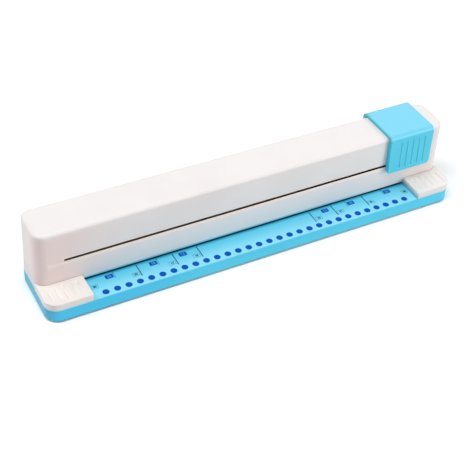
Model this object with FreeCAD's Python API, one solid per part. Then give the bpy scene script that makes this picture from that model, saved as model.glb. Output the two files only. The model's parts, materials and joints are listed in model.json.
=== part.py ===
import FreeCAD, Part
import math
import os

V = FreeCAD.Vector

# Sheet and hole row, in millimetres like every size here
sheet_length = 297.0
hole_count = 30
hole_end_margin = 10.75
hole_margin = 6.5
sheet_play = 0.5
paper_gap = 1.2

# Base
base_depth = 60.0
end_length = 36.9
base_height = 12.5
base_wall = 2.2
base_deck = 2.4
base_front_corner = 10.5
base_rear_corner = 7.2
base_edge_round = 0.8
base_foot_round = 1.6

# Bottom plate and feet
foot_proud = 0.8
foot_pocket = 0.7
foot_radius = 4.5
foot_end_inset = 15.0
foot_front_inset = 14.5
foot_rear_inset = 12.5
bottom_thickness = 1.7

# Chip drawer and its channel
channel_rib = 4.6
drawer_play = 0.3
drawer_wall = 1.2
drawer_panel = 2.2
drawer_grip_width = 24.0
drawer_grip_depth = 0.9
drawer_grip_height = 3.0
drawer_grip_over_floor = 2.2

# Die plate
die_side_gap = 1.75
die_bearing = 3.6
die_thickness = 2.0
die_end_past_sheet = 2.5
die_play = 0.15
die_head_edge = 0.6

# Housing
housing_inset = 0.2
housing_draft = 1.15
housing_rear_gap = 0.2
housing_depth = 36.1
housing_height = 53.7
housing_wall = 2.5
housing_front_corner = 9.0
housing_rear_corner = 7.0
housing_top_round = 2.3
slot_over_caps = 1.65
slot_height = 1.8
slot_end_play = 1.4

# End pads
pad_height = 5.4
pad_skirt = 1.0
pad_seam = 0.1
pad_round = 1.6
pad_corner = 0.7
pad_wrap = 6.0
pad_groove_count = 5
pad_groove_pitch = 5.9
pad_groove_width = 2.4
pad_groove_depth = 0.5
pad_groove_margin = 4.0
pad_peg_radius = 1.5
pad_peg_inset = 9.0

# Pins and springs
pin_radius = 2.75
pin_stroke = 4.4
pin_tip_lift = 0.3
pin_tip_notch = 1.6
pin_bore_play = 0.04
collar_gap = 1.5
collar_height = 1.5
cap_gap = 1.1
cap_height = 3.0
cap_round = 1.2
cap_clearance = 0.3
spring_play = 0.05
spring_wire = 0.8
spring_bore_play = 0.2

# Pin guide
guide_side_gap = 7.05
guide_web = 2.0
guide_wall = 1.5
guide_cover = 1.5

# Carriage
plate_steel = 1.2
tab_half_length = 13.0
carriage_half_length = 14.0
cheek_inner_half = 5.2
cheek_over_roller = 0.6
bridge_drop = 5.0
bridge_height = 9.0
axle_head = 0.8
axle_head_rim = 0.7

# Wheels
press_wheel_radius = 6.5
press_wheel_gap = 0.3
press_axle_radius = 2.0
roller_radius = 4.0
roller_axle_radius = 1.5
roller_spread = 8.5
wheel_side_play = 0.4
wheel_bore_play = 0.05
wheel_edge_round = 0.6
roller_lift = 9.7

# Rail and end frames
rail_headroom = 3.5
rail_thickness = 3.0
rail_side_gap = 6.55
rail_gap = 0.3
rail_end = 1.5
post_side_gap = 6.75
post_end_gap = 7.4
post_length = 10.0
post_overhang = 3.0
post_clearance = 2.0
flange_side_gap = 1.35
frame_flange_start = 1.5
fork_play = 0.05
bumper_gap = 0.3
bumper_height = 8.0
bumper_half_width = 4.0

# Slider cap
slider_half_length = 22.15
slider_skirt_taper = 1.05
slider_proud = 3.2
slider_flare = 1.8
slider_rise = 2.4
slider_skirt_under_slot = 5.55
slider_face_gap = 0.6
slider_top_gap = 0.3
slider_long_round = 4.0
tab_seat_depth = 1.6
rib_count = 5
rib_pitch = 6.0
rib_width = 1.6
rib_depth = 0.5
rib_first = 11.2
rib_margin = 3.2

# Paper stop
stop_thickness = 1.1
stop_rear_gap = 1.95
stop_short_of_sheet = 6.0
stop_screw_inset = 8.0
stop_screw_rear_inset = 2.25

# Screws
small_screw_radius = 1.1
small_head_radius = 1.9
small_head_height = 0.9
frame_screw_radius = 1.5
frame_head_radius = 2.6
frame_head_height = 1.6
screw_play = 0.15
screw_grip = 5.0
screw_end_gap = 0.5
bottom_screw_sheet_inset = 23.75
bottom_screw_front_inset = 7.4
bottom_head_radius = 2.4
bottom_head_height = 0.7
head_sink = 0.2
head_play = 0.1
boss_gap = 1.5
guide_screw_half_spacing = 4.0
guide_screw_floor = 0.6
boss_radius = 3.4
housing_screw_reach = 7.5
housing_boss_height = 10.0

# Levels up from the desk, then down from the housing's top
base_z = foot_proud
bottom_top_z = base_z + bottom_thickness
deck_z = foot_proud + base_height
deck_under_z = deck_z - base_deck
die_under_z = deck_z - die_thickness
throat_z = deck_z + paper_gap
tip_z = throat_z + pin_tip_lift
guide_floor_z = throat_z + guide_web
housing_top_z = deck_z + housing_height
rail_top_z = housing_top_z - housing_wall - rail_headroom
rail_z = rail_top_z - rail_thickness
roller_z = rail_z - rail_gap - roller_radius
press_wheel_z = roller_z - roller_lift
cap_top_z = press_wheel_z - press_wheel_radius - press_wheel_gap
cap_under_z = cap_top_z - cap_height
cover_top_z = cap_under_z - cap_clearance - pin_stroke
guide_top_z = cover_top_z - guide_cover
slot_z = cap_top_z + slot_over_caps
tab_z = slot_z - plate_steel / 2
slider_top_z = housing_top_z + slider_rise
slider_skirt_z = slot_z - slider_skirt_under_slot
drawer_z = bottom_top_z + drawer_play
drawer_top_z = die_under_z - base_deck + die_thickness - drawer_play * 2

# Places from front to back, centred on the overall depth
reading_ledge = base_depth - housing_depth - housing_rear_gap
overall_depth = reading_ledge + housing_depth + slider_proud + slider_flare
front_y = -overall_depth / 2
rear_y = front_y + base_depth
housing_front_y = front_y + reading_ledge
housing_rear_y = housing_front_y + housing_depth
line_y = (housing_front_y + housing_rear_y) / 2

# Half widths about the hole line
housing_half_depth = housing_depth / 2
inside_half = housing_half_depth - housing_wall
guide_half_width = inside_half - guide_side_gap
rail_half_width = inside_half - rail_side_gap
post_half_width = inside_half - post_side_gap
flange_half_width = inside_half - flange_side_gap
die_half_width = inside_half - die_side_gap
channel_half_width = die_half_width - die_bearing
stop_half_width = inside_half - stop_rear_gap
rib_mid = channel_half_width + channel_rib / 2

# Places along the length
first_hole_x = hole_end_margin - sheet_length / 2
hole_pitch = -first_hole_x * 2 / (hole_count - 1)
cap_radius = (hole_pitch - cap_gap) / 2
collar_radius = (hole_pitch - collar_gap) / 2
end_x = sheet_length / 2 + end_length
housing_foot_x = end_x - housing_inset
housing_end_x = housing_foot_x - housing_draft
stop_x = sheet_length / 2 + sheet_play
die_end_x = sheet_length / 2 - die_end_past_sheet
post_end_x = housing_end_x - housing_wall - post_end_gap
post_x = post_end_x - post_length
park_x = post_x - post_clearance - carriage_half_length
slot_end_x = park_x + tab_half_length + slot_end_play
flange_end_x = post_end_x - post_overhang
flange_x = sheet_length / 2 + frame_flange_start
drawer_end_x = -(sheet_length / 2 - sheet_play)


def box(x0, x1, y0, y1, z0, z1):
    return Part.makeBox(x1 - x0, y1 - y0, z1 - z0, V(x0, y0, z0))


def across(x0, x1, half_width, z0, z1):
    return box(x0, x1, line_y - half_width, line_y + half_width, z0, z1)


def post(x, y, z0, z1, radius):
    return Part.makeCylinder(radius, z1 - z0, V(x, y, z0), V(0, 0, 1))


def rod_y(x, z, y0, y1, radius):
    return Part.makeCylinder(radius, y1 - y0, V(x, y0, z), V(0, 1, 0))


def mirror_x(shape):
    return shape.mirror(V(0, 0, 0), V(1, 0, 0))


def both_ends(shape):
    return [shape, mirror_x(shape)]


def rounded_face(x0, x1, y0, y1, z, radii):
    """Rectangle with a radius at each corner: front left, front right, rear right, rear left."""
    a, b, c, d = radii
    k = 1 - math.sqrt(0.5)
    points = [
        V(x0 + a, y0, z), V(x1 - b, y0, z), V(x1 - b * k, y0 + b * k, z),
        V(x1, y0 + b, z), V(x1, y1 - c, z), V(x1 - c * k, y1 - c * k, z),
        V(x1 - c, y1, z), V(x0 + d, y1, z), V(x0 + d * k, y1 - d * k, z),
        V(x0, y1 - d, z), V(x0, y0 + a, z), V(x0 + a * k, y0 + a * k, z),
    ]
    edges = []
    for start in range(0, 12, 3):
        corner = [points[(start + step) % 12] for step in range(4)]
        edges.append(Part.makeLine(corner[0], corner[1]))
        edges.append(Part.Arc(corner[1], corner[2], corner[3]).toShape())
    return Part.Face(Part.Wire(edges))


def rounded_block(x0, x1, y0, y1, z0, z1, radii):
    return rounded_face(x0, x1, y0, y1, z0, radii).extrude(V(0, 0, z1 - z0))


def edges_at(shape, z):
    """Edges that lie wholly on one level."""
    found = []
    for edge in shape.Edges:
        bounds = edge.BoundBox
        if abs(bounds.ZMin - z) < 0.001 and abs(bounds.ZMax - z) < 0.001:
            found.append(edge)
    return found


def save(name, shape):
    shape.exportStep(os.path.join("parts", name + ".step"))


def save_group(name, shapes):
    save(name, Part.makeCompound(shapes))


def hole_xs():
    return [first_hole_x + index * hole_pitch for index in range(hole_count)]


def cut_holes(plate, radius, z0, z1):
    tools = [post(x, line_y, z0 - 1, z1 + 1, radius) for x in hole_xs()]
    return plate.cut(Part.makeCompound(tools))


def screw(x, y, seat_z, tip_z_at, radius, head_radius, head_height):
    """A pan-head screw whose head rests on seat_z and whose tip points to tip_z_at."""
    up = seat_z > tip_z_at
    shank = post(x, y, min(seat_z, tip_z_at), max(seat_z, tip_z_at), radius)
    if up:
        head = post(x, y, seat_z, seat_z + head_height, head_radius)
    else:
        head = post(x, y, seat_z - head_height, seat_z, head_radius)
    return shank.fuse(head)


def bottom_screw_places():
    x = sheet_length / 2 - bottom_screw_sheet_inset
    front = front_y + base_wall + bottom_screw_front_inset
    rear = line_y + rib_mid
    places = []
    for side in (-1, 0, 1):
        places.append((side * x, front))
        places.append((side * x, rear))
    return places


def frame_screw_places():
    xs = [flange_x + frame_head_radius + plate_steel, flange_end_x - frame_head_radius]
    y = inside_half - drawer_play - frame_head_radius
    return [(x, line_y + side * y) for x in xs for side in (-1, 1)]


def housing_screw_places():
    x = flange_end_x + boss_radius + boss_gap
    y = channel_half_width + drawer_play + frame_head_radius
    return [(x, line_y + side * y) for side in (-1, 1)]


def die_screw_places():
    x = die_end_x - small_head_radius - die_head_edge
    y = die_half_width - small_head_radius - die_head_edge
    return [(x, line_y + side * y) for side in (-1, 1)]


def stop_screw_xs():
    reach = die_end_x - stop_short_of_sheet - stop_screw_inset
    return [-reach, -reach / 3, reach / 3, reach]


def base_shell():
    radii = [base_front_corner, base_front_corner, base_rear_corner, base_rear_corner]
    shell = rounded_block(-end_x, end_x, front_y, rear_y, base_z, deck_z, radii)
    shell = shell.makeFillet(base_edge_round, edges_at(shell, deck_z))
    shell = shell.makeFillet(base_foot_round, edges_at(shell, base_z))
    inner = [radius - base_wall for radius in radii]
    hollow = rounded_block(-end_x + base_wall, end_x - base_wall, front_y + base_wall,
                           rear_y - base_wall, base_z - 1, deck_under_z, inner)
    shell = shell.cut(hollow)
    inside_x = end_x - base_wall
    for side in (-1, 1):
        low = line_y + side * channel_half_width
        high = line_y + side * (channel_half_width + channel_rib)
        rib = box(-inside_x, inside_x, min(low, high), max(low, high), bottom_top_z, deck_under_z)
        shell = shell.fuse(rib)
    places = bottom_screw_places()
    for x, y in housing_screw_places():
        places += [(-x, y), (x, y)]
    for x, y in places:
        boss = post(x, y, bottom_top_z, deck_under_z, boss_radius)
        shell = shell.fuse(boss.cut(across(-end_x, end_x, channel_half_width, 0, deck_z)))
    return cut_base(shell).removeSplitter()


def cut_base(shell):
    window = across(-die_end_x + base_wall, die_end_x - base_wall, channel_half_width, 0, deck_z + 1)
    pocket_x = die_end_x + die_play
    pocket = across(-pocket_x, pocket_x, die_half_width + die_play, die_under_z, deck_z + 1)
    mouth = across(end_x - base_wall - 1, end_x + 1, channel_half_width,
                   0, drawer_top_z + drawer_play)
    shell = shell.cut(window).cut(pocket).cut(mouth)
    for pad in end_pads():
        grown = pad.BoundBox
        shell = shell.cut(pad_rebate(grown))
    for side in (-1, 1):
        for x, y in pad_peg_places():
            shell = shell.cut(post(side * x, y, deck_under_z - 1, deck_z + 1, pad_peg_radius))
        for x, y in housing_screw_places():
            shell = shell.cut(post(side * x, y, 0, deck_z + 1, frame_screw_radius + screw_play))
            shell = shell.cut(post(side * x, y, 0, housing_seat_z(), frame_head_radius))
        for x, y in frame_screw_places():
            shell = shell.cut(post(side * x, y, deck_z - screw_grip, deck_z + 1, frame_screw_radius))
        for x, y in die_screw_places():
            shell = shell.cut(post(side * x, y, die_under_z - screw_grip, deck_z, small_screw_radius))
        for x, y in guide_screw_places():
            shell = shell.cut(post(side * x, y, guide_screw_tip_z(), deck_z + 1, frame_screw_radius))
    for x in stop_screw_xs():
        shell = shell.cut(post(x, stop_screw_y(), stop_screw_tip_z(), deck_z, small_screw_radius))
    for x, y in bottom_screw_places():
        shell = shell.cut(post(x, y, 0, bottom_top_z + screw_grip, frame_screw_radius))
    return shell


def pad_rebate(bounds):
    """The step along the deck's outer edge that a pad's skirt covers."""
    step = base_wall / 2
    radius = base_front_corner
    outer = rounded_block(-end_x - 1, end_x + 1, front_y - 1, rear_y, deck_z - pad_skirt,
                          deck_z + 1, [radius + 1] * 4)
    inner = rounded_block(-end_x + step, end_x - step, front_y + step, rear_y,
                          deck_z - pad_skirt - 1, deck_z + 2, [radius - step] * 4)
    reach = box(bounds.XMin - 1 if bounds.XMin < 0 else bounds.XMin,
                bounds.XMax if bounds.XMin < 0 else bounds.XMax + 1,
                front_y - 1, housing_front_y + pad_wrap, deck_z - pad_skirt, deck_z + 1)
    return outer.cut(inner).common(reach).cut(housing_foot())


def housing_foot():
    """The room that the pads leave for the housing's lower end."""
    x = housing_foot_x + pad_seam
    radii = [housing_front_corner + pad_seam] * 2 + [housing_rear_corner + pad_seam] * 2
    return rounded_block(-x, x, housing_front_y - pad_seam, housing_rear_y + pad_seam,
                         deck_z - pad_skirt - 1, deck_z + pad_height + 1, radii)


def housing_seat_z():
    return deck_z - screw_grip


def bottom_plate():
    play = die_play
    radii = [base_front_corner - base_wall - play] * 2 + [base_rear_corner - base_wall - play] * 2
    inset = base_wall + play
    plate = rounded_block(-end_x + inset, end_x - inset, front_y + inset, rear_y - inset,
                          base_z, bottom_top_z, radii)
    for x, y in foot_places():
        plate = plate.cut(post(x, y, base_z - 1, base_z + foot_pocket, foot_radius))
    for x, y in bottom_screw_places():
        plate = plate.cut(post(x, y, 0, bottom_top_z + 1, frame_screw_radius + screw_play))
        plate = plate.cut(post(x, y, 0, base_z + bottom_head_height + head_sink,
                               bottom_head_radius + head_play))
    for side in (-1, 1):
        for x, y in housing_screw_places():
            plate = plate.cut(post(side * x, y, 0, bottom_top_z + 1, frame_head_radius + screw_play))
    return plate


def foot_places():
    x = end_x - base_wall - foot_end_inset
    front = front_y + base_wall + foot_front_inset
    rear = rear_y - base_wall - foot_rear_inset
    return [(side * x, y) for side in (-1, 0, 1) for y in (front, rear)]


def rubber_feet():
    return [post(x, y, 0, base_z + foot_pocket, foot_radius) for x, y in foot_places()]


def bottom_screws():
    screws = []
    for x, y in bottom_screw_places():
        seat = base_z + bottom_head_height + head_sink
        tip = bottom_top_z + screw_grip - screw_end_gap
        screws.append(screw(x, y, seat, tip, frame_screw_radius, bottom_head_radius,
                            bottom_head_height))
    return screws


def chip_drawer():
    half = channel_half_width - drawer_play
    tray = across(drawer_end_x, end_x - drawer_panel, half, drawer_z, drawer_top_z)
    hollow = across(drawer_end_x + drawer_wall, end_x - drawer_panel - drawer_wall,
                    half - drawer_wall, drawer_z + drawer_wall, drawer_top_z + 1)
    panel = across(end_x - drawer_panel, end_x, half, base_z, drawer_top_z)
    low_z = base_z + drawer_grip_over_floor
    grip = across(end_x - drawer_grip_depth, end_x + 1, min(drawer_grip_width / 2, half - 1),
                  low_z, low_z + drawer_grip_height)
    plate_edge = across(end_x - drawer_panel - 1, end_x - base_wall + die_play, half + 1,
                        base_z - 1, bottom_top_z + die_play)
    return tray.cut(hollow).fuse(panel.cut(grip).cut(plate_edge)).removeSplitter()


def die_plate():
    plate = across(-die_end_x, die_end_x, die_half_width, die_under_z, deck_z)
    plate = cut_holes(plate, pin_radius + pin_bore_play, die_under_z, deck_z)
    for side in (-1, 1):
        for x, y in die_screw_places():
            plate = plate.cut(post(side * x, y, 0, deck_z + 1, small_screw_radius + screw_play))
            plate = plate.cut(post(side * x, y, deck_z - small_head_height, deck_z + 1,
                                   small_head_radius + screw_play))
    for x in stop_screw_xs():
        plate = plate.cut(post(x, stop_screw_y(), 0, deck_z + 1, small_screw_radius + screw_play))
    return plate


def die_screws():
    screws = []
    for side in (-1, 1):
        for x, y in die_screw_places():
            tip = die_under_z - screw_grip + screw_end_gap
            screws.append(screw(side * x, y, deck_z - small_head_height, tip, small_screw_radius,
                                small_head_radius, small_head_height))
    return screws


def stop_screw_y():
    return line_y + stop_half_width - stop_screw_rear_inset


def stop_screw_tip_z():
    return die_under_z - screw_grip


def paper_stop():
    reach = die_end_x - stop_short_of_sheet
    stop = box(-reach, reach, line_y + hole_margin, line_y + stop_half_width,
               deck_z, deck_z + stop_thickness)
    for x in stop_screw_xs():
        stop = stop.cut(post(x, stop_screw_y(), 0, throat_z, small_screw_radius + screw_play))
    return stop


def stop_screws():
    seat = deck_z + stop_thickness
    return [screw(x, stop_screw_y(), seat, stop_screw_tip_z() + screw_end_gap, small_screw_radius,
                  small_head_radius, small_head_height) for x in stop_screw_xs()]


def guide_channel():
    end = post_x - die_play
    outer = across(-end, end, guide_half_width, throat_z, guide_top_z)
    inner = across(-end - 1, end + 1, guide_half_width - guide_wall, guide_floor_z, guide_top_z + 1)
    channel = cut_holes(outer.cut(inner), pin_radius + pin_bore_play, throat_z, guide_floor_z)
    return cut_guide_screws(channel)


def guide_cover_plate():
    end = post_x - die_play
    plate = across(-end, end, guide_half_width, guide_top_z, cover_top_z)
    plate = cut_holes(plate, pin_radius + pin_bore_play, guide_top_z, cover_top_z)
    return cut_guide_screws(plate)


def guide_screw_places():
    x = (flange_x + post_x) / 2
    return [(x, line_y + side * guide_screw_half_spacing) for side in (-1, 1)]


def guide_screw_tip_z():
    return deck_under_z + guide_screw_floor


def cut_guide_screws(shape):
    for side in (-1, 1):
        for x, y in guide_screw_places():
            shape = shape.cut(post(side * x, y, 0, cover_top_z + 1, frame_screw_radius + screw_play))
    return shape


def guide_screws():
    screws = []
    for side in (-1, 1):
        for x, y in guide_screw_places():
            screws.append(screw(side * x, y, cover_top_z, guide_screw_tip_z() + head_sink,
                                frame_screw_radius, frame_head_radius, frame_head_height))
    return screws


def end_frame():
    """The right-hand casting: a flange on the deck, a tongue in the guide and a post for the rail."""
    flange = across(flange_x, flange_end_x, flange_half_width, deck_z, throat_z - fork_play)
    tongue = across(flange_x, post_x, guide_half_width - guide_wall - fork_play,
                    guide_floor_z + fork_play, guide_top_z - fork_play)
    column = across(post_x, post_end_x, post_half_width, deck_z, rail_z)
    frame = flange.fuse(tongue).fuse(column)
    frame = cut_guide_screws(frame)
    for x, y in frame_screw_places():
        frame = frame.cut(post(x, y, 0, throat_z + 1, frame_screw_radius + screw_play))
    for x in rail_screw_xs():
        frame = frame.cut(post(x, line_y, rail_z - screw_grip, rail_z + 1, frame_screw_radius))
    return frame.removeSplitter()


def frame_screws():
    screws = []
    for side in (-1, 1):
        for x, y in frame_screw_places():
            seat = throat_z - fork_play
            screws.append(screw(side * x, y, seat, deck_z - screw_grip + screw_end_gap, frame_screw_radius,
                                frame_head_radius, frame_head_height))
    return screws


def rail_screw_xs():
    return [(post_x + post_end_x) / 2]


def top_rail():
    end = post_end_x - rail_end
    rail = across(-end, end, rail_half_width, rail_z, rail_top_z)
    for side in (-1, 1):
        for x in rail_screw_xs():
            rail = rail.cut(post(side * x, line_y, 0, rail_top_z + 1, frame_screw_radius + screw_play))
    return rail


def rail_screws():
    return [screw(side * x, line_y, rail_top_z, rail_z - screw_grip + screw_end_gap, frame_screw_radius,
                  frame_head_radius, frame_head_height)
            for side in (-1, 1) for x in rail_screw_xs()]


def end_bumper():
    face = park_x + carriage_half_length + bumper_gap
    middle = (press_wheel_z + roller_z) / 2
    return across(face, post_x, bumper_half_width, middle - bumper_height / 2,
                  middle + bumper_height / 2)


def housing_shell():
    """A cover whose ends lean in a little, so that it leaves its mould."""
    radii = [housing_front_corner] * 2 + [housing_rear_corner] * 2
    foot = rounded_face(-housing_foot_x, housing_foot_x, housing_front_y, housing_rear_y,
                        deck_z, radii)
    top = rounded_face(-housing_end_x, housing_end_x, housing_front_y, housing_rear_y,
                       housing_top_z, radii)
    shell = Part.makeLoft([foot.OuterWire, top.OuterWire], True, True)
    shell = shell.makeFillet(housing_top_round, edges_at(shell, housing_top_z))
    inner = [radius - housing_wall for radius in radii]
    inside_x = housing_end_x - housing_wall
    hollow = rounded_block(-inside_x, inside_x, housing_front_y + housing_wall,
                           housing_rear_y - housing_wall, deck_z - 1,
                           housing_top_z - housing_wall, inner)
    shell = shell.cut(hollow)
    for side in (-1, 1):
        for x, y in housing_screw_places():
            boss = post(side * x, y, deck_z, deck_z + housing_boss_height, boss_radius)
            shell = shell.fuse(boss)
            shell = shell.cut(post(side * x, y, 0, deck_z + housing_screw_reach + screw_end_gap,
                                   frame_screw_radius))
    slot = box(-slot_end_x, slot_end_x, housing_front_y - 1, housing_rear_y + 1,
               slot_z - slot_height / 2, slot_z + slot_height / 2)
    throat = box(-stop_x, stop_x, housing_front_y - 1, line_y, deck_z - 1, throat_z)
    return shell.cut(slot).cut(throat).removeSplitter()


def housing_screws():
    screws = []
    for side in (-1, 1):
        for x, y in housing_screw_places():
            screws.append(screw(side * x, y, housing_seat_z(), deck_z + housing_screw_reach,
                                frame_screw_radius, frame_head_radius - screw_play,
                                frame_head_height))
    return screws


def pad_peg_places():
    x0 = stop_x + pad_peg_inset
    x1 = end_x - base_front_corner
    y = (front_y + housing_front_y) / 2
    return [(x0, y), (x1, y)]


def right_pad():
    """A raised hold-down pad with grooves from front to back and a skirt over the deck's edge."""
    front_radius = base_front_corner
    rear = housing_front_y + pad_wrap
    pad = rounded_block(stop_x, end_x, front_y, rear, deck_z - pad_skirt,
                        deck_z + pad_height, [pad_corner, front_radius, pad_corner, pad_corner])
    pad = pad.makeFillet(pad_round, edges_at(pad, deck_z + pad_height)).cut(housing_foot())
    step = base_wall / 2
    seat = rounded_block(stop_x - 1, end_x - step, front_y + step, rear + 1,
                         deck_z - pad_skirt - 1, deck_z,
                         [pad_seam, front_radius - step, pad_seam, pad_seam])
    pad = pad.cut(seat)
    first = (stop_x + end_x) / 2 - (pad_groove_count - 1) * pad_groove_pitch / 2
    for index in range(pad_groove_count):
        x = first + index * pad_groove_pitch
        pad = pad.cut(box(x - pad_groove_width / 2, x + pad_groove_width / 2,
                          front_y + pad_groove_margin, housing_front_y - pad_groove_margin,
                          deck_z + pad_height - pad_groove_depth, deck_z + pad_height + 1))
    for x, y in pad_peg_places():
        pad = pad.fuse(post(x, y, deck_under_z, deck_z, pad_peg_radius))
    return pad.removeSplitter()


def end_pads():
    return both_ends(right_pad())


def punch_pin(x):
    """Shank, notched tip, retaining collar and pressed-on cap."""
    collar_top = guide_top_z - spring_play
    shank = post(x, line_y, tip_z, cap_under_z + 1, pin_radius)
    collar = post(x, line_y, collar_top - collar_height, collar_top, collar_radius)
    cap = post(x, line_y, cap_under_z, cap_top_z, cap_radius)
    cap = cap.makeFillet(cap_round, edges_at(cap, cap_top_z))
    notch = Part.makePolygon([
        V(x - pin_radius - 1, line_y - pin_radius * 2, tip_z - pin_tip_notch),
        V(x - pin_radius - 1, line_y + pin_radius * 2, tip_z - pin_tip_notch),
        V(x - pin_radius - 1, line_y, tip_z + pin_tip_notch),
        V(x - pin_radius - 1, line_y - pin_radius * 2, tip_z - pin_tip_notch),
    ])
    wedge = Part.Face(notch).extrude(V(pin_radius * 2 + 2, 0, 0))
    return shank.cut(wedge).fuse(collar).fuse(cap).removeSplitter()


def return_springs():
    inner = pin_radius + spring_bore_play
    top = guide_top_z - spring_play * 2 - collar_height
    springs = []
    for x in hole_xs():
        coil = post(x, line_y, guide_floor_z, top, inner + spring_wire)
        springs.append(coil.cut(post(x, line_y, guide_floor_z - 1, top + 1, inner)))
    return springs


def tab_end_half():
    return housing_half_depth + slider_face_gap + tab_seat_depth


def carriage_frame():
    """One folded sheet: two cheeks, two bridges and a tab out through each housing slot."""
    cheek_outer = cheek_inner_half + plate_steel
    top_z = rail_z - cheek_over_roller
    x0 = park_x - carriage_half_length
    x1 = park_x + carriage_half_length
    frame = across(x0, x1, cheek_outer, tab_z, top_z)
    frame = frame.cut(across(x0 - 1, x1 + 1, cheek_inner_half, 0, top_z + 1))
    for start in (x0, x1 - plate_steel):
        bridge_z = roller_z - bridge_drop - bridge_height / 2
        frame = frame.fuse(across(start, start + plate_steel, cheek_inner_half,
                                  bridge_z, bridge_z + bridge_height))
    for side in (-1, 1):
        near = line_y + side * cheek_inner_half
        far = line_y + side * tab_end_half()
        frame = frame.fuse(box(park_x - tab_half_length, park_x + tab_half_length,
                               min(near, far), max(near, far), tab_z, tab_z + plate_steel))
    for x, z, radius in axle_places():
        frame = frame.cut(rod_y(x, z, line_y - cheek_outer - 1, line_y + cheek_outer + 1, radius))
    return frame.removeSplitter()


def axle_places():
    return [
        (park_x, press_wheel_z, press_axle_radius),
        (park_x - roller_spread, roller_z, roller_axle_radius),
        (park_x + roller_spread, roller_z, roller_axle_radius),
    ]


def axle(place):
    x, z, radius = place
    outer = cheek_inner_half + plate_steel
    shaft = rod_y(x, z, line_y - outer, line_y + outer, radius)
    for side in (-1, 1):
        near = line_y + side * outer
        far = line_y + side * (outer + axle_head)
        shaft = shaft.fuse(rod_y(x, z, min(near, far), max(near, far), radius + axle_head_rim))
    return shaft.removeSplitter()


def wheel(place, radius):
    x, z, axle_radius = place
    half = cheek_inner_half - wheel_side_play
    body = rod_y(x, z, line_y - half, line_y + half, radius)
    rims = [edge for edge in body.Edges if edge.Closed]
    body = body.makeChamfer(wheel_edge_round, rims)
    return body.cut(rod_y(x, z, line_y - half - 1, line_y + half + 1, axle_radius + wheel_bore_play))


def slider_ring(z, half_x, half_y):
    corners = [V(park_x - half_x, line_y - half_y, z), V(park_x + half_x, line_y - half_y, z),
               V(park_x + half_x, line_y + half_y, z), V(park_x - half_x, line_y + half_y, z)]
    return Part.makePolygon(corners + [corners[0]])


def slider_cap():
    """The saddle: a top, and a front and a rear skirt that lean out towards the bottom."""
    top_half = housing_half_depth + slider_proud
    low = slider_ring(slider_skirt_z, slider_half_length - slider_skirt_taper,
                      top_half + slider_flare)
    high = slider_ring(slider_top_z, slider_half_length, top_half)
    cap = Part.makeLoft([low, high], True, True)
    long_edges = [edge for edge in edges_at(cap, slider_top_z)
                  if edge.BoundBox.XLength > edge.BoundBox.YLength]
    cap = cap.makeFillet(slider_long_round, long_edges)
    inside = housing_half_depth + slider_face_gap
    cap = cap.cut(across(park_x - slider_half_length - 1, park_x + slider_half_length + 1, inside,
                         slider_skirt_z - 1, housing_top_z + slider_top_gap))
    cap = cap.cut(across(park_x - tab_half_length, park_x + tab_half_length, tab_end_half(),
                         tab_z, tab_z + plate_steel))
    return cap.cut(Part.makeCompound(grip_grooves(top_half))).removeSplitter()


def grip_grooves(top_half):
    lean = math.degrees(math.atan(slider_flare / (slider_top_z - slider_skirt_z)))
    bottom_z = slider_skirt_z + rib_margin
    top_z = slider_top_z - slider_long_round - rib_margin
    first_x = park_x - slider_half_length + rib_first
    grooves = []
    for index in range(rib_count):
        x = first_x + index * rib_pitch
        for side in (-1, 1):
            face_y = line_y + side * top_half
            near = face_y - side * rib_depth
            far = face_y + side * 3
            tool = box(x - rib_width / 2, x + rib_width / 2, min(near, far), max(near, far),
                       bottom_z, top_z)
            tool.rotate(V(0, face_y, slider_top_z), V(1, 0, 0), side * lean)
            grooves.append(tool)
    return grooves


def main():
    os.makedirs("parts", exist_ok=True)
    save("base_shell", base_shell())
    save("bottom_plate", bottom_plate())
    save_group("rubber_feet", rubber_feet())
    save_group("bottom_screws", bottom_screws())
    save("chip_drawer", chip_drawer())
    save("die_plate", die_plate())
    save_group("die_screws", die_screws())
    save("paper_stop", paper_stop())
    save_group("stop_screws", stop_screws())
    save("pin_guide_channel", guide_channel())
    save("pin_guide_cover", guide_cover_plate())
    save_group("guide_screws", guide_screws())
    frames = both_ends(end_frame())
    save("right_end_frame", frames[0])
    save("left_end_frame", frames[1])
    save_group("frame_screws", frame_screws())
    save("top_rail", top_rail())
    save_group("rail_screws", rail_screws())
    save_group("end_bumpers", both_ends(end_bumper()))
    save("housing_shell", housing_shell())
    save_group("housing_screws", housing_screws())
    pads = end_pads()
    save("right_hold_pad", pads[0])
    save("left_hold_pad", pads[1])
    save_group("return_springs", return_springs())
    for index, x in enumerate(hole_xs()):
        save("punch_pin_%02d" % (index + 1), punch_pin(x))
    places = axle_places()
    save("carriage_frame", carriage_frame())
    save_group("carriage_axles", [axle(place) for place in places])
    save("press_wheel", wheel(places[0], press_wheel_radius))
    save("left_rail_roller", wheel(places[1], roller_radius))
    save("right_rail_roller", wheel(places[2], roller_radius))
    save("slider_cap", slider_cap())


main()
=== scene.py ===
# %% [markdown]
# # A thirty-hole punch, dressed in Blender
#
# The real object is a long desk punch. The work lies on a blue ledge between two white pads, and a
# blue saddle is drawn along a white cover to press thirty pins one after the other. The exact
# solids come from CAD. This script gives them their looks: soft moulded edges, grip grooves,
# printed marks, coil springs, screw heads, and a finish for every material.
#
# Blender works in metres. The CAD model is in millimetres, so the pieces below are shaped in
# millimetres and shrunk to metres in one place, just before they become objects.

import json
import math

import bmesh
import bpy
from mathutils import Matrix, Vector


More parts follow.
